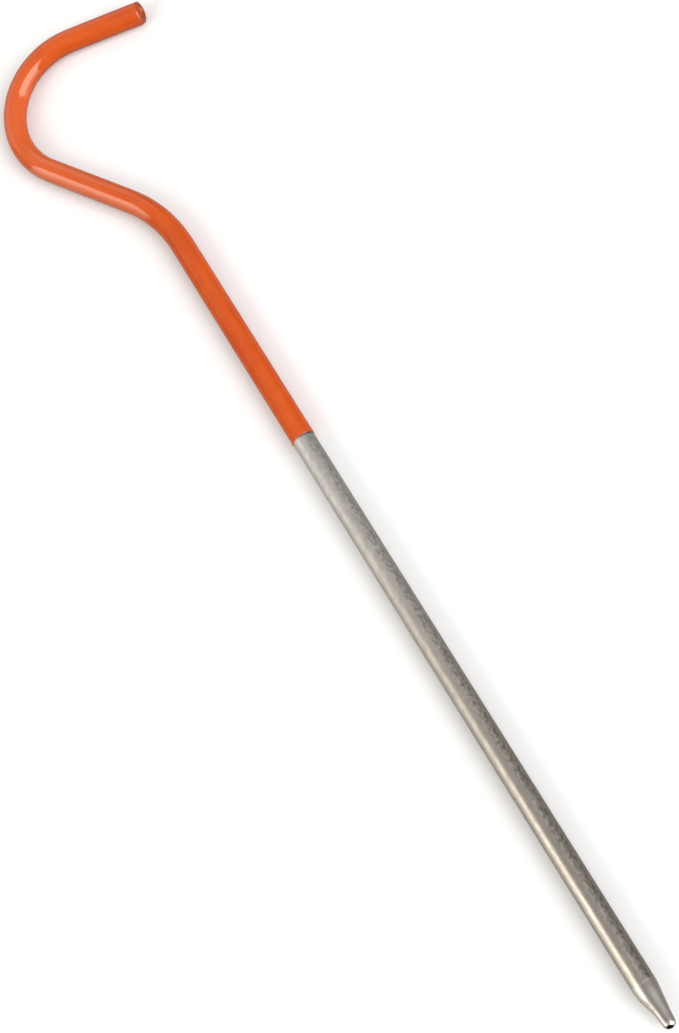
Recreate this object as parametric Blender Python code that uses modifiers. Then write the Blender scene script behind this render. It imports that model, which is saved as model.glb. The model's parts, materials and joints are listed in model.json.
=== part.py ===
"""Hook tent stake, lying on its side: one bent wire with a ground point, and the coating on its hook.

Frame: +Y runs up the shaft from the point to the hook, +X is the side that the hook opens to, and
+Z stands square to the hook's plane. The origin is the bottom centre of the whole stake's box.
"""

import math

import bmesh
import bpy
from mathutils import Vector

MM = 0.001

# Driving dimensions
OVERALL_LENGTH = 165.0 * MM  # from the blunt point to the top of the coated hook
WIRE_RADIUS = 1.6 * MM
COATING_THICKNESS = 0.07 * MM
COATING_GAP = 0.01 * MM  # clearance between the wire and the inside of its coating
COATED_FROM = 88.3 * MM  # lower edge of the coating, measured up from the point

# Bends of the wire's centreline, in the order a bender makes them from the shaft up
OFFSET_BEND_RADIUS = 20.0 * MM
OFFSET_BEND_DEG = 32.0  # away from the hook's mouth
LINK_LENGTH = 14.5 * MM  # straight between the two bends
HOOK_RADIUS = 11.0 * MM
HOOK_DEG = 139.0  # back over the shaft
ARM_LENGTH = 11.7 * MM  # straight end that keeps the line in the hook

# Ground point: distance up from the end, and the wire's radius there
POINT_PROFILE = (
    (0.0 * MM, 0.42 * MM),  # rim of the flat end
    (0.1 * MM, 0.62 * MM),
    (0.3 * MM, 0.76 * MM),
    (0.6 * MM, 0.83 * MM),  # the rounded nose meets the nib
    (1.7 * MM, 0.93 * MM),  # the nib meets the cone
    (2.9 * MM, 1.24 * MM),
    (4.1 * MM, 1.51 * MM),
    (5.6 * MM, WIRE_RADIUS),  # shoulder, where the grinding begins
)
CUT_END_CHAMFER = 0.2 * MM

# Fineness of the solids
BEND_STEP_DEG = 4.7
TUBE_BEVEL_RESOLUTION = 10  # 24 sides
WELD_DISTANCE = 0.001 * MM
CAP_FACES_DOWN = 0.99  # least share of a cap's normal that points down the shaft

TITANIUM_COLOUR = (0.33, 0.29, 0.25, 1.0)
COATING_COLOUR = (0.76, 0.12, 0.025, 1.0)


class WirePen:
    """Draws a flat centreline as the straight runs and round bends of a wire bender."""

    def __init__(self, heading_deg):
        self.points = [Vector((0.0, 0.0, 0.0))]
        self.heading = math.radians(heading_deg)

    def direction(self):
        """The unit vector that the wire runs along at the pen."""
        return Vector((math.cos(self.heading), math.sin(self.heading), 0.0))

    def run(self, length):
        """Adds a straight run."""
        self.points.append(self.points[-1] + self.direction() * length)

    def bend(self, radius, degrees):
        """Adds a round bend: positive degrees turn to the left, negative ones to the right."""
        steps = math.ceil(abs(degrees) / BEND_STEP_DEG)
        turn = math.radians(degrees)
        side = math.copysign(1.0, degrees)
        centre = self.points[-1] + Vector((-self.direction().y, self.direction().x, 0.0)) * radius * side
        start = self.heading
        for step in range(1, steps + 1):
            self.heading = start + turn * step / steps
            outward = Vector((self.direction().y, -self.direction().x, 0.0)) * side
            self.points.append(centre + outward * radius)


def clear_scene():
    """Removes whatever the scene holds."""
    for obj in list(bpy.data.objects):
        bpy.data.objects.remove(obj)


def make_collection(name):
    """A new collection in the scene."""
    collection = bpy.data.collections.new(name)
    bpy.context.scene.collection.children.link(collection)
    return collection


def make_material(name, colour, roughness, metallic):
    """A Principled material."""
    material = bpy.data.materials.new(name)
    material.use_nodes = True
    shader = material.node_tree.nodes["Principled BSDF"]
    shader.inputs["Base Color"].default_value = colour
    shader.inputs["Roughness"].default_value = roughness
    shader.inputs["Metallic"].default_value = metallic
    return material


def hook_centreline():
    """Centreline from the top of the straight shaft to the hook's cut end, and its last direction."""
    pen = WirePen(heading_deg=90.0)
    pen.bend(OFFSET_BEND_RADIUS, OFFSET_BEND_DEG)
    pen.run(LINK_LENGTH)
    pen.bend(HOOK_RADIUS, -HOOK_DEG)
    pen.run(ARM_LENGTH)
    return pen.points, pen.direction()


def stand_on_shaft(points):
    """Moves the hook's points up, so that the coated hook tops out at the overall length."""
    rise = max(point.y for point in points)
    outer_radius = WIRE_RADIUS + COATING_GAP + COATING_THICKNESS
    lift = Vector((0.0, OVERALL_LENGTH - outer_radius - rise, 0.0))
    return [point + lift for point in points]


def chamfered_end(points, radius, beyond, direction):
    """Sections of a tube along the points, whose last edge is chamfered, running on past the last one."""
    end = points[-1] + direction * beyond
    rim = end - direction * CUT_END_CHAMFER
    sections = [(point, radius) for point in points[:-1]]
    return sections + [(rim, radius), (end, radius - CUT_END_CHAMFER)]


def make_tube(name, sections, collection):
    """A closed tube as a curve object, through (point, radius) sections."""
    curve = bpy.data.curves.new(name, "CURVE")
    curve.dimensions = "3D"
    curve.bevel_depth = WIRE_RADIUS
    curve.bevel_resolution = TUBE_BEVEL_RESOLUTION
    curve.use_fill_caps = True
    spline = curve.splines.new("POLY")
    spline.points.add(len(sections) - 1)
    for spline_point, (place, radius) in zip(spline.points, sections):
        spline_point.co = (*place, 1.0)
        spline_point.radius = radius / WIRE_RADIUS
    tube = bpy.data.objects.new(name, curve)
    collection.objects.link(tube)
    return tube


def curve_to_mesh(tube):
    """Swaps a curve object for a mesh object of the same name, with its caps welded on."""
    bpy.context.view_layer.update()
    evaluated = tube.evaluated_get(bpy.context.evaluated_depsgraph_get())
    mesh = bpy.data.meshes.new_from_object(evaluated)
    work = bmesh.new()
    work.from_mesh(mesh)
    bmesh.ops.remove_doubles(work, verts=work.verts, dist=WELD_DISTANCE)
    work.to_mesh(mesh)
    work.free()
    name = tube.name
    collection = tube.users_collection[0]
    place = tube.matrix_world.copy()
    bpy.data.objects.remove(tube)
    solid = bpy.data.objects.new(name, mesh)
    solid.matrix_world = place
    collection.objects.link(solid)
    return solid


def open_lower_end(solid):
    """Takes off the cap that faces down the shaft."""
    work = bmesh.new()
    work.from_mesh(solid.data)
    cap = [face for face in work.faces if face.normal.y < -CAP_FACES_DOWN]
    bmesh.ops.delete(work, geom=cap, context="FACES_ONLY")
    work.to_mesh(solid.data)
    work.free()


def build_rod(hook_points, hook_direction, collection):
    """The titanium wire: ground point, straight shaft, offset bend, hook and arm."""
    point = [(Vector((0.0, up, 0.0)), radius) for up, radius in POINT_PROFILE]
    wire = chamfered_end(hook_points, WIRE_RADIUS, 0.0, hook_direction)
    rod = make_tube("stake_rod", point + wire, collection)
    rod.data.materials.append(make_material("titanium", TITANIUM_COLOUR, 0.35, 1.0))
    return rod


def build_coating(hook_points, hook_direction, collection):
    """The coating: a thin skin round the upper shaft and hook, closed over the cut end."""
    lower_edge = Vector((0.0, COATED_FROM, 0.0))
    inner_radius = WIRE_RADIUS + COATING_GAP
    skin = chamfered_end([lower_edge] + hook_points, inner_radius, COATING_GAP, hook_direction)
    coating = curve_to_mesh(make_tube("hook_coating", skin, collection))
    open_lower_end(coating)
    coating.data.shade_smooth()
    coating.data.materials.append(make_material("orange_coating", COATING_COLOUR, 0.22, 0.0))
    shell = coating.modifiers.new("thickness", "SOLIDIFY")
    shell.thickness = COATING_THICKNESS
    shell.offset = 1.0
    shell.use_even_offset = True
    return coating


def world_box(objects):
    """Lowest and highest corner of the evaluated objects."""
    bpy.context.view_layer.update()
    depsgraph = bpy.context.evaluated_depsgraph_get()
    corners = []
    for obj in objects:
        evaluated = obj.evaluated_get(depsgraph)
        mesh = evaluated.to_mesh()
        corners += [evaluated.matrix_world @ vertex.co for vertex in mesh.vertices]
        evaluated.to_mesh_clear()
    lowest = Vector(min(corner[axis] for corner in corners) for axis in range(3))
    highest = Vector(max(corner[axis] for corner in corners) for axis in range(3))
    return lowest, highest


def lay_on_origin(pieces, collection):
    """Hangs the pieces on an empty that puts the bottom centre of their box at the origin."""
    lowest, highest = world_box(pieces)
    centre = (lowest + highest) / 2
    stake = bpy.data.objects.new("stake_frame", None)
    stake.location = (-centre.x, -centre.y, -lowest.z)
    collection.objects.link(stake)
    for piece in pieces:
        piece.parent = stake


def build():
    """Makes the whole stake."""
    clear_scene()
    collection = make_collection("tent_stake")
    points, direction = hook_centreline()
    hook_points = stand_on_shaft(points)
    rod = build_rod(hook_points, direction, collection)
    coating = build_coating(hook_points, direction, collection)
    lay_on_origin([rod, coating], collection)


build()
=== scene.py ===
"""Looks of a hook tent stake: a bare titanium wire with a ground point and a glossy orange coated hook.

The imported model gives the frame. Two fine meshes stand for its two solids, and both follow the same
centreline: straight runs and round bends, lying in one plane. Sizes are metres unless a name says mm.
"""

import json
import logging
import math
from dataclasses import dataclass, field
from enum import Enum
from typing import Any, Mapping

import bpy
import numpy as np
from mathutils import Matrix, Vector, noise


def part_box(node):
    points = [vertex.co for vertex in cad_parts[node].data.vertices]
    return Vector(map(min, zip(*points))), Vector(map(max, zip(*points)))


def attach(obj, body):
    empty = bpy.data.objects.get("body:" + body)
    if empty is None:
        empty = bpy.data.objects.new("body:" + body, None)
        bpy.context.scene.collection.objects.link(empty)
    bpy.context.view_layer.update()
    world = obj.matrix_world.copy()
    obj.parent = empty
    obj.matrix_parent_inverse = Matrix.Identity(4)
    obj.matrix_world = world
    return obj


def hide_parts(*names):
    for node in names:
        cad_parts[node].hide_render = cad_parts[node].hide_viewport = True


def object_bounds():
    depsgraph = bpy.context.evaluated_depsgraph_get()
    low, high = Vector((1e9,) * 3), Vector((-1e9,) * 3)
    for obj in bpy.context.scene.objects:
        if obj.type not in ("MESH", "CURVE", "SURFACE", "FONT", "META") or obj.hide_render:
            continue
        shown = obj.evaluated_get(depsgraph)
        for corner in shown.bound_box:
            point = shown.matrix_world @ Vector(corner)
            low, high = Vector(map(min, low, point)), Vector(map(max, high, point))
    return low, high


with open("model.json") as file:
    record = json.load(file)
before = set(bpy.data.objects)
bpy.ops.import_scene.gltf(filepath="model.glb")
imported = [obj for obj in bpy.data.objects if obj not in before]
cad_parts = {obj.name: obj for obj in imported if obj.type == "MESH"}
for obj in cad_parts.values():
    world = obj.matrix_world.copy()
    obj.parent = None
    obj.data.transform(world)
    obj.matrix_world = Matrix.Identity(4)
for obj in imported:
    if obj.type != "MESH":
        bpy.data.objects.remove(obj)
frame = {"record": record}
CAD_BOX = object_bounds()

MM = 0.001
BODY = "root"
BAKE_MAP = "OFBake"
UNBENT = "unbent_mm"
AIM_SHIFT = Vector((-1.1 * MM, -6.3 * MM, 0.0))

log = logging.getLogger("tent_stake")

Colour = tuple[float, float, float, float]
Span = tuple[float, float]
Triple = tuple[float, float, float]


# ---------------------------------------------------------------- small helpers


def smooth(low: float, high: float, value: np.ndarray) -> np.ndarray:
    """Rises smoothly from 0 at low to 1 at high.

    Args:
        low: Where the rise starts.
        high: Where the rise ends.
        value: The values to look up.

    Returns:
        An array of the same shape, from 0 to 1.
    """
    share = np.clip((value - low) / (high - low), 0.0, 1.0)
    return share * share * (3.0 - 2.0 * share)


def noise_at(places: np.ndarray, cell: float, shift: float) -> np.ndarray:
    """Smooth solid noise at each place.

    Args:
        places: Points, in an array whose last axis is x, y, z.
        cell: Size of one noise cell, in the unit of the places.
        shift: Moves the noise, so that two uses differ.

    Returns:
        Values from about -1 to 1, without the last axis.
    """
    flat = places.reshape(-1, 3) / cell + shift
    values = [noise.noise(Vector(place)) for place in flat]
    return np.array(values).reshape(places.shape[:-1])


def mount_place(name: str) -> Vector:
    """The place of one of the record's mounts."""
    found = next(m for m in frame["record"]["mounts"] if m["name"] == name)
    return Vector(found["pos_m"])


# ---------------------------------------------------------------- shader expressions


class Maths(Enum):
    """The operations of a Math node that the finishes use."""

    ADD = "ADD"
    SUBTRACT = "SUBTRACT"
    MULTIPLY = "MULTIPLY"


class Value:
    """A socket that gives a number, for use in Python arithmetic."""

    def __init__(self, graph: "Graph", socket: bpy.types.NodeSocket) -> None:
        """Wraps a socket of a graph."""
        self.graph = graph
        self.socket = socket

    def maths(self, operation: Maths, *terms: "Value | float") -> "Value":
        """Adds a Math node.

        Args:
            operation: What the node does.
            terms: Its one or two inputs, in order.

        Returns:
            The node's result.
        """
        return self.graph.node("ShaderNodeMath", {"operation": operation.value}, dict(enumerate(terms)))

    def __add__(self, other: "Value | float") -> "Value":
        """The sum."""
        return self.maths(Maths.ADD, self, other)

    def __sub__(self, other: "Value | float") -> "Value":
        """The difference."""
        return self.maths(Maths.SUBTRACT, self, other)

    def __rsub__(self, other: float) -> "Value":
        """A number less this value."""
        return self.maths(Maths.SUBTRACT, other, self)

    def __mul__(self, other: "Value | float") -> "Value":
        """The product."""
        return self.maths(Maths.MULTIPLY, self, other)

    def between(self, low: float, high: float, start: float = 0.0, end: float = 1.0) -> "Value":
        """Maps low to start and high to end, with a smooth step.

        Args:
            low: The value that gives start.
            high: The value that gives end.
            start: Result at and below low.
            end: Result at and above high.

        Returns:
            The mapped value.
        """
        settings = {"interpolation_type": "SMOOTHSTEP"}
        sockets = {"Value": self, "From Min": low, "From Max": high, "To Min": start, "To Max": end}
        return self.graph.node("ShaderNodeMapRange", settings, sockets)


class Graph:
    """A node tree with one Principled surface."""

    def __init__(self, name: str) -> None:
        """Makes a material of that name."""
        self.material = bpy.data.materials.new(name)
        self.material.use_nodes = True
        self.tree = self.material.node_tree
        self.surface = self.tree.nodes["Principled BSDF"]

    def node(
        self,
        kind: str,
        settings: Mapping[str, Any] | None = None,
        sockets: Mapping[str | int, Any] | None = None,
        output: str | int = 0,
    ) -> Value:
        """Adds any node.

        Args:
            kind: The node's type.
            settings: Its properties, set before its sockets.
            sockets: Values, colours or links for its inputs, by name or number.
            output: The output to return.

        Returns:
            The chosen output.
        """
        made = self.tree.nodes.new(kind)
        for name, setting in (settings or {}).items():
            setattr(made, name, setting)
        for name, held in (sockets or {}).items():
            self.feed(made.inputs[name], held)
        return Value(self, made.outputs[output])

    def feed(self, socket: bpy.types.NodeSocket, held: Any) -> None:
        """Links a Value to a socket, or sets the socket to a plain value."""
        if isinstance(held, Value):
            self.tree.links.new(held.socket, socket)
        else:
            socket.default_value = held

    def mix(self, share: Value, first: Any, second: Any) -> Value:
        """Blends two colours.

        Args:
            share: How much of the second shows.
            first: A colour or a link to one.
            second: A colour or a link to one.

        Returns:
            The blended colour.
        """
        sockets = {"Factor": share, 6: first, 7: second}
        return self.node("ShaderNodeMix", {"data_type": "RGBA"}, sockets, 2)

    def stretched(self, scale: Triple) -> Value:
        """Unbent coordinates in mm, scaled along each axis."""
        held = self.node("ShaderNodeAttribute", {"attribute_name": UNBENT}, output="Vector")
        sockets = {0: held, 1: scale}
        return self.node("ShaderNodeVectorMath", {"operation": "MULTIPLY"}, sockets)

    def along(self) -> Value:
        """Distance along the wire from its point, in mm."""
        held = self.node("ShaderNodeAttribute", {"attribute_name": UNBENT}, output="Vector")
        return self.node("ShaderNodeSeparateXYZ", None, {"Vector": held}, "Y")

    def facing(self, angle: float) -> Value:
        """How much a place on the wire faces an angle round it, from -1 to 1.

        Args:
            angle: The angle, where 0 is the wire's left side and a quarter turn is its top.

        Returns:
            The cosine of the angle between them.
        """
        flat = self.stretched((1.0, 0.0, 1.0))
        unit = self.node("ShaderNodeVectorMath", {"operation": "NORMALIZE"}, {0: flat})
        towards = (math.cos(angle), 0.0, math.sin(angle))
        return self.node("ShaderNodeVectorMath", {"operation": "DOT_PRODUCT"}, {0: unit, 1: towards}, "Value")

    def ball(self, middle: Triple, radius: float, edge: float) -> Value:
        """A ball over the unbent wire: 1 inside, 0 outside, with a soft edge.

        Args:
            middle: The ball's middle in unbent coordinates, in mm.
            radius: Its radius in mm.
            edge: Half the width of its edge in mm.

        Returns:
            The mask.
        """
        held = self.stretched((1.0, 1.0, 1.0))
        apart = self.node("ShaderNodeVectorMath", {"operation": "DISTANCE"}, {0: held, 1: middle}, "Value")
        return apart.between(radius - edge, radius + edge, 1.0, 0.0)

    def grain(self, scale: Triple, detail: float = 2.0, rough: float = 0.5) -> Value:
        """Noise from 0 to 1 over the unbent wire.

        Args:
            scale: Noise cells per mm across, along and across the wire.
            detail: Octaves.
            rough: Weight of each next octave.

        Returns:
            The noise value.
        """
        sockets = {"Vector": self.stretched(scale), "Scale": 1.0, "Detail": detail, "Roughness": rough}
        return self.node("ShaderNodeTexNoise", None, sockets)

    def bump(self, relief: Value, depth: float) -> Value:
        """The surface direction that a relief gives, where a relief of 1 is the depth in metres."""
        return self.node("ShaderNodeBump", None, {"Strength": 1.0, "Distance": depth, "Height": relief})

    def set_surface(self, **sockets: Any) -> bpy.types.Material:
        """Feeds the Principled surface, with underscores for the spaces in socket names.

        Returns:
            The finished material.
        """
        for name, held in sockets.items():
            self.feed(self.surface.inputs[name.replace("_", " ")], held)
        return self.material


# ---------------------------------------------------------------- finishes


@dataclass(frozen=True)
class TitaniumFinish:
    """Bare drawn titanium: mottled and pitted, smoother where ground, paler and duller near the coating, with
    painted shade on one side of the shaft and of the point and under the coating's lip, and a painted dark
    reflection on the nose.
    """

    ground_to_mm: float
    coated_from_mm: float
    bright: Colour = (0.46, 0.424, 0.378, 1.0)
    dull: Colour = (0.36, 0.328, 0.29, 1.0)
    clean: Colour = (0.64, 0.628, 0.606, 1.0)
    # Dark of the pits, also used as the colour of painted shade.
    dark_pit_and_shade: Colour = (0.084, 0.082, 0.081, 1.0)
    ground: Colour = (0.56, 0.532, 0.485, 1.0)
    # Painted shade on one side of the ground point.
    ground_shaded: Colour = (0.225, 0.211, 0.197, 1.0)
    # Painted dark reflection on the round nose.
    nose_dark_reflection: Colour = (0.006, 0.0055, 0.005, 1.0)
    roughness: Span = (0.36, 0.6)
    ground_roughness: Span = (0.26, 0.58)
    # Side of the shaft turned away from the side light, darkened as painted shade.
    painted_shade_side: float = math.radians(138.0)
    # Side where the pits gather thickly, as painted shade.
    pits_shade_angle: float = math.radians(128.0)
    # Side of the point that gets painted shade and more roughness.
    point_shade_side: float = math.radians(116.0)
    # Side where the painted shadow under the coating's lip falls.
    lip_shadow_side: float = math.radians(122.0)
    cleaned_from_mm: float = 34.0
    lip_shadow_mm: Span = (0.34, 0.12)
    spot_mm: Triple = (-0.06, -0.23, 0.42)
    spot_radius_mm: float = 0.42
    spot_edge_mm: float = 0.05
    relief_depth: float = 0.012 * MM

    def material(self) -> bpy.types.Material:
        """The node material."""
        graph = Graph("titanium_wire")
        along = graph.along()
        blotches = graph.grain((1.6, 0.8, 1.6), 3.0, 0.55)
        fine = graph.grain((5.5, 3.4, 5.5), 2.0, 0.6)
        lines = graph.grain((9.0, 0.25, 9.0), 2.0)
        drawn = (along + blotches * 1.4).between(self.ground_to_mm + 0.45, self.ground_to_mm + 0.95)
        cleaned = along.between(self.cleaned_from_mm, self.coated_from_mm + 4.0)
        # Painted shade: the side turned away from the side light.
        painted_shade = graph.facing(self.painted_shade_side).between(0.55, 0.98)
        # Pits gather on the shaded side: partly real pits, partly painted shade.
        pits_shaded_side = graph.facing(self.pits_shade_angle).between(0.88, 0.995)
        # Painted shade on one side of the point; the same mask also raises the roughness there.
        rougher_shaded_point = graph.facing(self.point_shade_side).between(0.6, 0.92) * along.between(0.1, 0.6)
        cells = graph.grain((3.0, 1.8, 3.0), 3.0, 0.6).between(0.4, 0.62)
        # A few real pits all round, and many more on the side turned away from the side light as painted
        # shade.
        pits_and_shade = cells * (pits_shaded_side * 0.58 + painted_shade * 0.08 + 0.05) * drawn * (1 - cleaned * 0.5)
        tone = blotches.between(0.34, 0.66) * 0.5 + fine.between(0.3, 0.7) * 0.35
        tone = tone + lines.between(0.3, 0.7) * 0.15
        colour = graph.mix(tone, self.dull, self.bright)
        colour = graph.mix(cleaned * (tone * 0.5 + 0.46), colour, self.clean)
        # Painted shade darkens the side turned away from the side light.
        colour = graph.mix(painted_shade * drawn * (cleaned * 0.12 + 0.1), colour, self.dark_pit_and_shade)
        colour = graph.mix(pits_and_shade, colour, self.dark_pit_and_shade)
        colour = graph.mix((1 - drawn) * 0.9, colour, graph.mix(rougher_shaded_point, self.ground, self.ground_shaded))
        # A painted dark reflection on the nose.
        spot = graph.ball(self.spot_mm, self.spot_radius_mm, self.spot_edge_mm)
        colour = graph.mix(spot, colour, self.nose_dark_reflection)
        # Painted shadow under the coating's lip.
        colour = graph.mix(self.lip_shadow(graph, along, blotches), colour, self.dark_pit_and_shade)
        rough = along.between(12.0, self.coated_from_mm - 18.0, *self.roughness) + pits_and_shade * 0.1 - tone * 0.05
        ground_low, ground_high = self.ground_roughness
        rough = rough * drawn + (1 - drawn) * (rougher_shaded_point * (ground_high - ground_low) + ground_low)
        rings = graph.grain((0.35, 6.5, 0.35), 2.0, 0.6)
        relief = pits_and_shade * -0.35 + blotches * 0.3 + fine * 0.3 + lines * 0.15
        relief = relief * drawn + rings * (1 - drawn) * 1.6
        bump = graph.bump(relief, self.relief_depth)
        return graph.set_surface(Base_Color=colour, Roughness=rough, Normal=bump, Metallic=1.0)

    def lip_shadow(self, graph: Graph, along: Value, blotches: Value) -> Value:
        """Painted shadow of the coating's lip on the metal just under it, on the shaded side only.

        Args:
            graph: The material's graph.
            along: Distance along the wire, in mm.
            blotches: The noise that breaks the line up.

        Returns:
            The mask.
        """
        low, high = self.lip_shadow_mm
        line = along.between(self.coated_from_mm - low, self.coated_from_mm - high)
        shaded = graph.facing(self.lip_shadow_side).between(0.55, 0.95)
        return line * shaded * (blotches.between(0.42, 0.55) * 0.45 + 0.3)


@dataclass(frozen=True)
class CoatingFinish:
    """Glossy orange powder coat with a faint peel: paler on the bends, with painted shade round the cut end.
    """

    end_mm: float
    body: Colour = (0.59, 0.078, 0.002, 1.0)
    deep: Colour = (0.54, 0.062, 0.001, 1.0)
    # Paler colour on the bends.
    bend_paler: Colour = (0.625, 0.099, 0.018, 1.0)
    # Painted shade round the cut end's rim.
    rim_shade: Colour = (0.15, 0.03, 0.01, 1.0)
    roughness: Span = (0.07, 0.12)
    ior: float = 1.66
    glint: Colour = (1.0, 0.9, 0.76, 1.0)
    paler_from_mm: Span = (124.0, 152.0)
    paler_to_mm: Span = (162.0, 175.0)
    rim_mm: Span = (0.36, 0.14)
    relief_depth: float = 0.006 * MM

    def material(self) -> bpy.types.Material:
        """The node material."""
        graph = Graph("orange_powder_coat")
        cloud = graph.grain((0.35, 0.18, 0.35), 2.0)
        peel = graph.grain((2.2, 1.8, 2.2), 1.0)
        dust = graph.grain((8.0, 8.0, 8.0), 1.0)
        colour = graph.mix(cloud.between(0.35, 0.65), self.deep, self.body)
        along = graph.along()
        # The bends are paler.
        bends = along.between(*self.paler_from_mm) * along.between(*self.paler_to_mm, 1.0, 0.0)
        colour = graph.mix(bends * (cloud.between(0.3, 0.7) * 0.3 + 0.7), colour, self.bend_paler)
        # Painted shade round the rim of the cut end.
        rim = along.between(self.end_mm - self.rim_mm[0], self.end_mm - self.rim_mm[1])
        colour = graph.mix(rim * 0.6, colour, self.rim_shade)
        smoothest, roughest = self.roughness
        rough = cloud.between(0.3, 0.7) * (roughest - smoothest) + smoothest
        bump = graph.bump(peel + dust * 0.15, self.relief_depth)
        graph.set_surface(Base_Color=colour, Roughness=rough, Normal=bump)
        return graph.set_surface(IOR=self.ior, Specular_Tint=self.glint)


@dataclass(frozen=True)
class FloorFinish:
    """Glossy pale table top, which throws back less light than it shows."""

    pale: Colour = (0.9, 0.91, 0.925, 1.0)
    bounce: Colour = (0.4, 0.39, 0.38, 1.0)
    roughness: float = 0.16

    def material(self) -> bpy.types.Material:
        """The node material."""
        graph = Graph("pale_floor")
        seen = graph.node("ShaderNodeLightPath", output="Is Camera Ray")
        colour = graph.mix(seen, self.bounce, self.pale)
        return graph.set_surface(Base_Color=colour, Roughness=self.roughness)


# ---------------------------------------------------------------- the wire's centreline


class Turn(Enum):
    """Which way a stretch of wire turns, seen from above."""

    STRAIGHT = 0
    LEFT = 1
    RIGHT = -1


@dataclass(frozen=True)
class Stretch:
    """One straight or round stretch of wire."""

    length: float
    turn: Turn = Turn.STRAIGHT
    radius: float = 1.0

    @property
    def curvature(self) -> float:
        """Signed curvature: positive turns to the left."""
        return self.turn.value / self.radius


@dataclass(frozen=True)
class Centreline:
    """The wire's centreline, from the middle of its point to the middle of its cut end."""

    shaft: float
    start: Vector
    offset_radius: float = 20.0 * MM
    offset_turn: float = math.radians(32.0)
    link: float = 14.5 * MM
    hook_radius: float = 11.0 * MM
    hook_turn: float = math.radians(139.0)
    arm: float = 11.7 * MM

    def stretches(self) -> list[Stretch]:
        """The stretches in order, from the point up."""
        return [
            Stretch(self.shaft),
            Stretch(self.offset_radius * self.offset_turn, Turn.LEFT, self.offset_radius),
            Stretch(self.link),
            Stretch(self.hook_radius * self.hook_turn, Turn.RIGHT, self.hook_radius),
            Stretch(self.arm),
        ]

    @property
    def length(self) -> float:
        """The wire's whole length."""
        return sum(stretch.length for stretch in self.stretches())

    def curvature(self, along: np.ndarray, blur: float) -> np.ndarray:
        """Signed curvature, eased over a length at both ends of each bend.

        Args:
            along: Distances along the wire.
            blur: The length that a bend takes to set in.

        Returns:
            The curvature at each distance.
        """
        total = np.zeros_like(along)
        passed = 0.0
        for stretch in self.stretches():
            end = passed + stretch.length
            rise = smooth(passed - blur / 2, passed + blur / 2, along)
            fall = smooth(end - blur / 2, end + blur / 2, along)
            total += stretch.curvature * (rise - fall)
            passed = end
        return total

    def follow(self, along: np.ndarray) -> tuple[np.ndarray, np.ndarray, np.ndarray]:
        """Places on the centreline.

        Args:
            along: Distances along the wire. Those before its start or past its end lie straight on.

        Returns:
            Arrays of points, of unit directions up the wire, and of unit directions to its left.
        """
        points = np.zeros((len(along), 3))
        heading = np.full(len(along), math.pi / 2)
        corner = np.array(self.start)
        angle = math.pi / 2
        passed = 0.0
        last = len(self.stretches()) - 1
        for number, stretch in enumerate(self.stretches()):
            low = -math.inf if number == 0 else passed
            high = math.inf if number == last else passed + stretch.length
            here = (along >= low) & (along < high)
            points[here], heading[here] = self.walk(corner, angle, stretch, along[here] - passed)
            ends, angles = self.walk(corner, angle, stretch, np.array([stretch.length]))
            corner, angle = ends[0], angles[0]
            passed += stretch.length
        flat = np.zeros(len(along))
        ahead = np.stack([np.cos(heading), np.sin(heading), flat], axis=1)
        left = np.stack([-np.sin(heading), np.cos(heading), flat], axis=1)
        return points, ahead, left

    @staticmethod
    def walk(
        corner: np.ndarray, angle: float, stretch: Stretch, gone: np.ndarray
    ) -> tuple[np.ndarray, np.ndarray]:
        """Points and headings along one stretch.

        Args:
            corner: The stretch's first point.
            angle: Its first heading.
            stretch: The stretch.
            gone: Distances from its first point.

        Returns:
            The points and the headings there.
        """
        bend = stretch.curvature
        heading = angle + bend * gone
        if stretch.turn is Turn.STRAIGHT:
            across, up = np.cos(angle) * gone, np.sin(angle) * gone
        else:
            across = (np.sin(heading) - math.sin(angle)) / bend
            up = (math.cos(angle) - np.cos(heading)) / bend
        return corner + np.stack([across, up, np.zeros_like(gone)], axis=1), heading


# ---------------------------------------------------------------- swept skins


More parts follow.
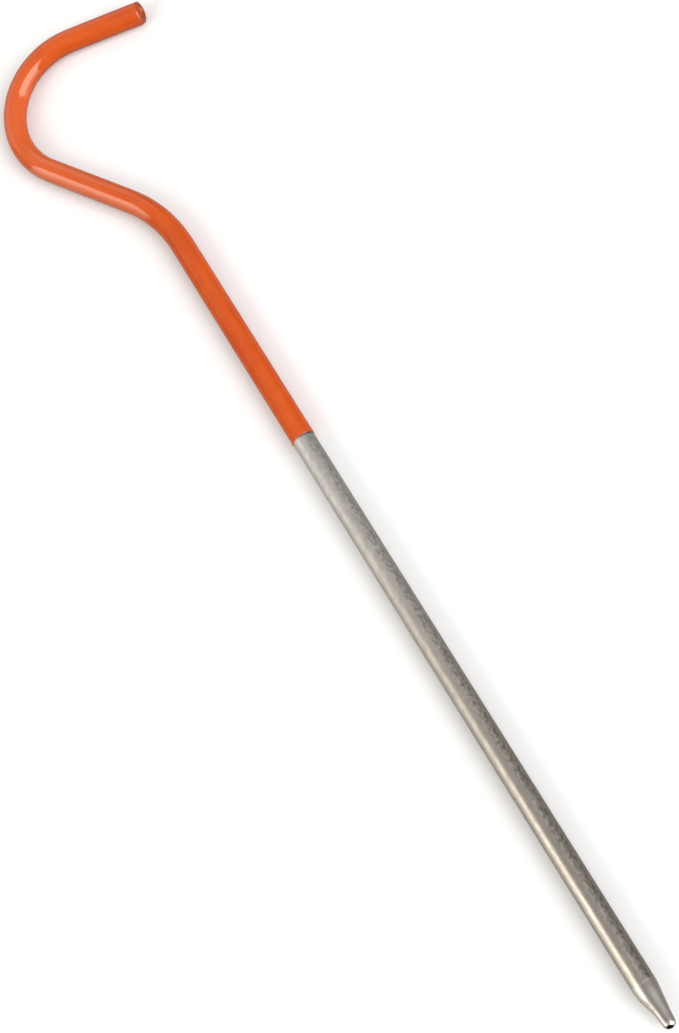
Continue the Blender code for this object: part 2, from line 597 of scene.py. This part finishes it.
@dataclass
class Rings:
    """Rings of a swept skin: where each lies along the wire, and its radius and lean all round."""

    sides: int
    along: list[float] = field(default_factory=list)
    radius: list[np.ndarray] = field(default_factory=list)
    lean: list[np.ndarray] = field(default_factory=list)
    shift: list[float] = field(default_factory=list)

    @property
    def angles(self) -> np.ndarray:
        """Angles round the wire: 0 is its left side and a quarter turn is its top."""
        return np.arange(self.sides) * (2 * math.pi / self.sides)

    def add(
        self, along: float, radius: np.ndarray | float, lean: np.ndarray | float = 0.0, shift: float = 0.0
    ) -> None:
        """Adds the next ring.

        Args:
            along: Its distance along the wire.
            radius: Its radius at each side, or all round.
            lean: How far each side is moved up the wire.
            shift: How far the whole ring is moved to the wire's left.
        """
        self.along.append(along)
        self.radius.append(np.broadcast_to(radius, (self.sides,)).astype(float))
        self.lean.append(np.broadcast_to(lean, (self.sides,)).astype(float))
        self.shift.append(shift)

    def skin(self, name: str, line: Centreline, columns: int) -> bpy.types.Object:
        """Builds the closed mesh through all rings, with a pole at each end.

        Args:
            name: The object's name.
            line: The centreline that it follows.
            columns: Number of strips that its texture layout is cut into.

        Returns:
            The new mesh object.
        """
        along, radius, lean = np.array(self.along), np.array(self.radius), np.array(self.lean)
        points, ahead, left = line.follow(along)
        points = points + np.array(self.shift)[:, None] * left
        across = np.cos(self.angles)[None, :, None] * left[:, None, :]
        upward = np.sin(self.angles)[None, :, None] * np.array([0.0, 0.0, 1.0])
        shell = points[:, None, :] + radius[..., None] * (across + upward)
        shell = shell + lean[..., None] * ahead[:, None, :]
        ends = [shell[0].mean(axis=0), shell[-1].mean(axis=0)]
        vertices = np.vstack([shell.reshape(-1, 3), ends])
        mesh = bpy.data.meshes.new(name)
        mesh.from_pydata(vertices.tolist(), [], self.faces())
        mesh.shade_smooth()
        self.write_unbent(mesh, along, radius, lean)
        self.write_layout(mesh, shell, columns)
        mesh.validate()
        made = bpy.data.objects.new(name, mesh)
        bpy.context.scene.collection.objects.link(made)
        return made

    def faces(self) -> list[tuple[int, ...]]:
        """Quads between the rings and a fan at each pole, facing outwards."""
        sides, count = self.sides, len(self.along)
        made: list[tuple[int, ...]] = []
        for ring in range(count - 1):
            base = ring * sides
            for side in range(sides):
                turn = (side + 1) % sides
                made.append((base + side, base + turn, base + sides + turn, base + sides + side))
        first, last = count * sides, count * sides + 1
        top = (count - 1) * sides
        for side in range(sides):
            turn = (side + 1) % sides
            made.append((turn, side, first))
            made.append((top + side, top + turn, last))
        return made

    def write_unbent(
        self, mesh: bpy.types.Mesh, along: np.ndarray, radius: np.ndarray, lean: np.ndarray
    ) -> None:
        """Stores where each vertex would lie, in mm, if the wire were straight along Y."""
        sideways = radius * np.cos(self.angles) + np.array(self.shift)[:, None]
        straight = np.stack([sideways, along[:, None] + lean, radius * np.sin(self.angles)], axis=2)
        poles = [[0.0, straight[0, :, 1].mean(), 0.0], [0.0, straight[-1, :, 1].mean(), 0.0]]
        values = np.vstack([straight.reshape(-1, 3), poles]) / MM
        held = mesh.attributes.new(UNBENT, "FLOAT_VECTOR", "POINT")
        held.data.foreach_set("vector", values.astype(np.float32).ravel())

    def write_layout(self, mesh: bpy.types.Mesh, shell: np.ndarray, columns: int) -> None:
        """Lays the skin out flat as a few strips side by side, for the bake.

        Args:
            mesh: The mesh to write to.
            shell: The rings' points.
            columns: The number of strips.
        """
        sides, count = self.sides, len(self.along)
        steps = np.linalg.norm(np.diff(shell, axis=0), axis=2).mean(axis=1)
        reach = np.concatenate([[0.0], np.cumsum(steps)])
        strip = reach[-1] / columns * (1 + 1e-6)
        margin, slack, pole_step = 0.02, 1.03, 0.004
        uv = np.zeros((len(mesh.loops), 2), np.float32)
        for polygon in mesh.polygons:
            corners = [mesh.loops[i].vertex_index for i in polygon.loop_indices]
            rings = [v // sides for v in corners if v < count * sides]
            spots = [v % sides for v in corners if v < count * sides]
            wraps = max(spots) - min(spots) > 1
            column = int(reach[min(rings)] / strip)
            for loop, vertex in zip(polygon.loop_indices, corners):
                is_pole = vertex >= count * sides
                ring = min(rings) if is_pole else vertex // sides
                spot = min(spots) + 0.5 if is_pole else vertex % sides
                turn = spot + sides if wraps and spot < sides / 2 else spot
                u = (column + margin + (1 - 2 * margin) * turn / sides) / columns
                v = margin + (1 - 2 * margin) * (reach[ring] - column * strip) / (strip * slack)
                if is_pole:
                    v += pole_step if vertex > count * sides else -pole_step
                uv[loop] = (u, v)
        layer = mesh.uv_layers.new(name=BAKE_MAP)
        layer.data.foreach_set("uv", uv.ravel())


# ---------------------------------------------------------------- sub-assemblies


@dataclass(frozen=True)
class Ripple:
    """One layer of unevenness on the wire: noise with a cell size and a height in mm."""

    cell: float
    shift: float
    height: float

    def over(self, places: np.ndarray) -> np.ndarray:
        """The height at each place, in mm."""
        return noise_at(places, self.cell, self.shift) * self.height


@dataclass
class Wire:
    """The titanium wire: its section, its bends and its ground point."""

    line: Centreline
    coated_from: float
    hidden_end: float = 0.65 * MM
    radius: float = 1.6 * MM
    sides: int = 72
    chamfer: float = 0.2 * MM
    flattening: float = 0.16
    bend_ease: float = 3.0 * MM
    shoulder: float = 5.6 * MM
    nose_reach: float = 0.42 * MM
    nose_height: float = 0.72 * MM
    nose_lean: float = 0.16 * MM
    nose_rings: int = 14
    point_stops_mm: tuple[float, ...] = (0.4, 1.3, 1.8, 2.5, 3.0, 3.7, 4.2, 4.8, 5.6)
    point_radii_mm: tuple[float, ...] = (0.84, 0.93, 1.0, 1.14, 1.24, 1.4, 1.5, 1.57, 1.6)
    point_blur_mm: float = 0.35
    point_step: float = 0.12 * MM
    ring_step: float = 0.22 * MM
    swell: Ripple = Ripple(2.2, 11.0, 0.004)
    grit: Ripple = Ripple(0.5, 47.0, 0.0012)
    grind_marks: Ripple = Ripple(0.42, 83.0, 0.02)

    def section(self, along: np.ndarray, angles: np.ndarray) -> np.ndarray:
        """Radius of the round wire, a little flattened where it is bent.

        Args:
            along: Distances along the wire.
            angles: Angles round it.

        Returns:
            The radius at each distance and angle.
        """
        bend = self.line.curvature(along, self.bend_ease)[:, None] * self.radius
        outer = np.clip(-np.sign(bend) * np.cos(angles)[None, :], 0.0, 1.0)
        squeeze = self.flattening * np.abs(bend) * (outer**2 - 0.3 * np.sin(angles)[None, :] ** 2)
        return self.radius * (1.0 - squeeze)

    def point_radius(self, along: np.ndarray) -> np.ndarray:
        """Radius of the ground point: a round nose, a slim nib and a cone up to the shoulder.

        Args:
            along: Distances along the wire, from the middle of its point.

        Returns:
            The radius at each distance.
        """
        stops, radii = np.array(self.point_stops_mm) * MM, np.array(self.point_radii_mm) * MM
        blur = np.linspace(-self.point_blur_mm, self.point_blur_mm, 9) * MM
        body = np.mean([np.interp(along + shift, stops, radii) for shift in blur], axis=0)
        dome = np.clip(1.0 - (along + self.nose_reach) / self.nose_height, 0.0, 1.0)
        return body * np.sqrt(np.clip(1.0 - dome**2.3, 0.0, 1.0))

    def rings(self) -> Rings:
        """All rings of the wire, from the nose to the cut end."""
        rings = Rings(self.sides)
        end = self.line.length - self.hidden_end
        turns = np.linspace(0.05, math.pi / 2, self.nose_rings)
        nose = self.nose_height * (1.0 - np.cos(turns)) - self.nose_reach
        point = np.arange(nose[-1] + self.point_step, self.shoulder, self.point_step)
        bare = np.arange(self.shoulder, end - self.chamfer, self.ring_step)
        stations = np.concatenate([nose, point, bare])
        radii = self.section(stations, rings.angles)
        ground = self.point_radius(stations)[:, None]
        radii = np.where(stations[:, None] < self.shoulder, ground, radii)
        radii += self.drift(stations, rings.angles)
        off = self.nose_lean * (1.0 - smooth(1.4 * MM, 4.2 * MM, stations))
        for along, radius, offset in zip(stations, radii, off):
            rings.add(along, radius, shift=-offset)
        rim = self.radius - self.chamfer
        rings.add(end - self.chamfer, self.radius)
        rings.add(end, rim)
        rings.add(end, rim * 0.5)
        return rings

    def drift(self, along: np.ndarray, angles: np.ndarray) -> np.ndarray:
        """The drawn wire's unevenness, and grinding marks on the point's right side; none at the nose."""
        ring = np.stack([np.cos(angles), np.sin(angles)], axis=1) * self.radius / MM
        places = np.zeros((len(along), len(angles), 3))
        places[..., 0] = ring[None, :, 0]
        places[..., 1] = along[:, None] / MM
        places[..., 2] = ring[None, :, 1]
        relief = self.swell.over(places) + self.grit.over(places)
        relief *= smooth(0.5 * MM, 3.0 * MM, along)[:, None]
        upper_end = 1.0 - smooth(self.shoulder - 0.4 * MM, self.shoulder, along)
        ground = smooth(0.3 * MM, 1.0 * MM, along) * upper_end
        right = 0.5 - 0.5 * np.cos(angles)
        marks = self.grind_marks.over(places) * right[None, :] ** 2 * ground[:, None]
        return (relief + marks) * MM

    def build(self) -> bpy.types.Object:
        """Makes the wire, dressed and riding on the frame.

        Returns:
            The wire's object.
        """
        made = self.rings().skin("titanium_wire", self.line, 4)
        made.data.materials.append(TitaniumFinish(self.shoulder / MM, self.coated_from / MM).material())
        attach(made, BODY)
        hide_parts("stake_rod")
        return made


@dataclass
class Coating:
    """The orange skin over the hook and upper shaft, closed over the cut end."""

    wire: Wire
    edge: float
    thickness: float = 0.07 * MM
    clearance: float = 0.01 * MM
    sides: int = 96
    bead: float = 0.05 * MM
    bead_width: float = 0.35 * MM
    lip_height: float = 0.5 * MM
    lip_steps_mm: tuple[float, ...] = (0.12, 0.25, 0.37)
    edge_wave: float = 0.16 * MM
    wave_reach: float = 3.0 * MM
    rim_round: float = 0.42 * MM
    rim_lopsided: float = 0.24 * MM
    face_tilt: float = math.radians(5.0)
    face_dish: float = 0.42 * MM
    face_shares: tuple[float, ...] = (0.94, 0.88, 0.82, 0.76, 0.7, 0.6, 0.45, 0.25, 0.08)
    end_stretch: float = 1.6 * MM
    ring_step: float = 0.25 * MM

    def outside(self, along: np.ndarray, angles: np.ndarray) -> np.ndarray:
        """Outer radius: the wire, the skin and the bead that gathers at its lower edge."""
        skin = self.thickness + self.clearance
        gathered = self.bead * np.exp(-(((along - self.edge) / self.bead_width) ** 2))
        upper = 0.5 + 0.5 * np.sin(angles)
        return self.wire.section(along, angles) + skin + gathered[:, None] * upper[None, :]

    def rings(self) -> Rings:
        """All rings, from the inside of the closed end, down the inside, and up the outside."""
        rings = Rings(self.sides)
        line = self.wire.line
        inner_end = line.length - self.wire.hidden_end + self.clearance
        inner = self.wire.radius + self.clearance
        chamfer = self.wire.chamfer
        rings.add(inner_end, (inner - chamfer) * 0.5)
        rings.add(inner_end, inner - chamfer)
        wave = self.wave(rings.angles)
        down = np.arange(inner_end - chamfer, self.edge + self.lip_height, -1.0 * MM)
        for along, radius in zip(down, self.wire.section(down, rings.angles) + self.clearance):
            rings.add(along, radius)
        self.add_lip(rings, wave)
        up = np.arange(self.edge + self.lip_height, line.length - self.end_stretch, self.ring_step)
        for along, radius in zip(up, self.outside(up, rings.angles)):
            rings.add(along, radius, wave * self.wave_left(along))
        self.add_end(rings)
        return rings

    def wave(self, angles: np.ndarray) -> np.ndarray:
        """How far the lower edge wanders up and down the shaft, all round."""
        places = np.stack([np.cos(angles), np.sin(angles), np.full_like(angles, 0.4)], axis=1)
        return self.edge_wave * noise_at(places, 0.75, 5.0)

    def wave_left(self, along: float) -> float:
        """How much of the lower edge's wandering is left at a distance along the wire."""
        return 1.0 - smooth(self.edge, self.edge + self.wave_reach, np.array(along))

    def add_lip(self, rings: Rings, wave: np.ndarray) -> None:
        """Adds the rounded lower edge, from the inside round to the outside."""
        inner = self.wire.radius + self.clearance
        outer = inner + self.thickness + self.bead * (0.5 + 0.5 * np.sin(rings.angles))
        middle, half = (inner + outer) / 2, (outer - inner) / 2
        for turn in np.linspace(-math.pi / 2, math.pi / 2, 7):
            radius = middle + half * math.sin(turn)
            rings.add(self.edge, radius, wave + half * (1.0 - math.cos(turn)))
        for step in self.lip_steps_mm:
            along = self.edge + step * MM
            radius = self.outside(np.array([along]), rings.angles)[0]
            rings.add(along, radius, wave * self.wave_left(along))

    def add_end(self, rings: Rings) -> None:
        """Adds the coated cut end: a lopsided rounded rim round a slightly dished face."""
        angles = rings.angles
        end = self.wire.line.length + self.clearance + self.thickness
        outer = self.outside(np.array([end]), angles)[0]
        rounding = self.rim_round - self.rim_lopsided * np.cos(angles)
        tilt = math.tan(self.face_tilt)
        for turn in np.linspace(0.0, math.pi / 2, 9):
            radius = outer - rounding * (1.0 - math.cos(turn))
            lean = -rounding * (1.0 - math.sin(turn)) - tilt * np.sin(angles) * radius * math.sin(turn)
            rings.add(end, radius, lean)
        rim = outer - rounding
        for share in self.face_shares:
            dish = self.face_dish * float(smooth(0.0, 0.45, np.array(1.0 - share)))
            radius = rim * share
            rings.add(end, radius, -dish - tilt * np.sin(angles) * radius)

    def build(self) -> bpy.types.Object:
        """Makes the coating, dressed and riding on the frame.

        Returns:
            The coating's object.
        """
        made = self.rings().skin("orange_coating", self.wire.line, 4)
        made.data.materials.append(CoatingFinish(self.wire.line.length / MM).material())
        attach(made, BODY)
        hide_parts("hook_coating")
        return made


# ---------------------------------------------------------------- studio


def direction_to(azimuth: float, elevation: float) -> Vector:
    """The unit direction of a bearing, in degrees from +X towards +Y, and of a height above the floor."""
    turn, rise = math.radians(azimuth), math.radians(elevation)
    return Vector((math.cos(turn) * math.cos(rise), math.sin(turn) * math.cos(rise), math.sin(rise)))


@dataclass(frozen=True)
class Softbox:
    """A soft rectangular light, placed by what it covers of the surroundings."""

    name: str
    bearing: Span
    height: Span
    radiance: float
    colour: Triple = (1.0, 1.0, 1.0)
    distance: float = 1.4

    def build(self, aim: Vector) -> bpy.types.Object:
        """Makes the light, facing a place.

        Args:
            aim: The place that it faces.

        Returns:
            The light's object.
        """
        lamp = bpy.data.lights.new(self.name, "AREA")
        lamp.shape = "RECTANGLE"
        lamp.size = 2 * self.distance * math.tan(math.radians(self.bearing[1] - self.bearing[0]) / 2)
        lamp.size_y = 2 * self.distance * math.tan(math.radians(self.height[1] - self.height[0]) / 2)
        lamp.energy = self.radiance * math.pi * lamp.size * lamp.size_y
        lamp.color = self.colour
        made = bpy.data.objects.new(self.name, lamp)
        outward = direction_to(sum(self.bearing) / 2, sum(self.height) / 2)
        made.location = aim + outward * self.distance
        made.rotation_mode = "QUATERNION"
        made.rotation_quaternion = (-outward).to_track_quat("-Z", "Y")
        bpy.context.scene.collection.objects.link(made)
        return made


SIDE_TINT = (1.0, 0.96, 0.89)
SPILL_TINT = (1.0, 0.96, 0.9)
SOFTBOXES = (
    Softbox("side_softbox", bearing=(161.5, 203.0), height=(20.0, 53.0), radiance=3.1, colour=SIDE_TINT),
    Softbox("side_spill", bearing=(164.0, 201.0), height=(-4.0, 19.0), radiance=1.45, colour=SPILL_TINT),
    Softbox("back_softbox", bearing=(62.0, 138.0), height=(6.0, 44.0), radiance=0.6),
    Softbox("front_softbox", bearing=(-66.0, -20.0), height=(2.0, 61.0), radiance=4.2),
)


@dataclass(frozen=True)
class Viewpoint:
    """The camera, looking down at the stake as it lies, and turned about its own axis."""

    aim: Vector
    azimuth: float = 16.9
    elevation: float = 67.7
    roll: float = -50.0
    distance: float = 0.25
    lens: float = 66.2

    def build(self) -> bpy.types.Object:
        """Makes the camera and gives it to the scene.

        Returns:
            The camera's object.
        """
        turn, rise = math.radians(self.azimuth), math.radians(self.elevation)
        back = Vector((math.sin(turn) * math.cos(rise), -math.cos(turn) * math.cos(rise), math.sin(rise)))
        level = Vector((math.cos(turn), math.sin(turn), 0.0))
        upright = back.cross(level)
        tilt = math.radians(self.roll)
        right = level * math.cos(tilt) + upright * math.sin(tilt)
        top = back.cross(right)
        camera = bpy.data.cameras.new("camera")
        camera.lens = self.lens
        camera.clip_start = 0.005
        made = bpy.data.objects.new("camera", camera)
        turned = Matrix((right, top, back)).transposed()
        made.matrix_world = Matrix.Translation(self.aim + back * self.distance) @ turned.to_4x4()
        bpy.context.scene.collection.objects.link(made)
        bpy.context.scene.camera = made
        return made


@dataclass(frozen=True)
class Studio:
    """Pale floor, four soft lights, a dim room and the camera."""

    middle: Vector
    room_low: Colour = (0.24, 0.232, 0.222, 1.0)
    room_high: Colour = (0.62, 0.6, 0.575, 1.0)
    floor_reach: float = 1.5

    def floor(self) -> bpy.types.Object:
        """Lays the floor at the height that the stake rests on."""
        reach = self.floor_reach
        corners = [(-reach, -reach, 0.0), (reach, -reach, 0.0), (reach, reach, 0.0), (-reach, reach, 0.0)]
        mesh = bpy.data.meshes.new("floor")
        mesh.from_pydata(corners, [], [(0, 1, 2, 3)])
        mesh.materials.append(FloorFinish().material())
        made = bpy.data.objects.new("floor", mesh)
        bpy.context.scene.collection.objects.link(made)
        return made

    def room(self) -> None:
        """Surrounds the scene with a dim room, lighter overhead."""
        world = bpy.data.worlds.new("room")
        world.use_nodes = True
        nodes, links = world.node_tree.nodes, world.node_tree.links
        place = nodes.new("ShaderNodeTexCoord")
        split = nodes.new("ShaderNodeSeparateXYZ")
        ramp = nodes.new("ShaderNodeValToRGB")
        ramp.color_ramp.elements[0].color = self.room_low
        ramp.color_ramp.elements[1].color = self.room_high
        links.new(place.outputs["Generated"], split.inputs[0])
        links.new(split.outputs["Z"], ramp.inputs[0])
        links.new(ramp.outputs[0], nodes["Background"].inputs["Color"])
        bpy.context.scene.world = world

    def build(self) -> None:
        """Sets up everything that isn't the stake."""
        self.floor()
        self.room()
        for softbox in SOFTBOXES:
            softbox.build(self.middle)
        Viewpoint(self.middle).build()
        bpy.context.scene.view_settings.view_transform = "Standard"


# ---------------------------------------------------------------- main


def main() -> None:
    """Builds the stake and its studio."""
    logging.basicConfig(level=logging.INFO, format="%(name)s: %(message)s")
    point, soil = mount_place("point_end"), mount_place("soil_line")
    line = Centreline(shaft=soil.y - point.y, start=point)
    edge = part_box("hook_coating")[0].y - point.y
    wire = Wire(line, edge)
    for piece in (wire.build(), Coating(wire, edge).build()):
        log.info("%s: %d faces", piece.name, len(piece.data.polygons))
    low, high = CAD_BOX
    middle = Vector(((low.x + high.x) / 2, (low.y + high.y) / 2, point.z))
    Studio(middle + AIM_SHIFT).build()


if __name__ == "__main__":
    main()
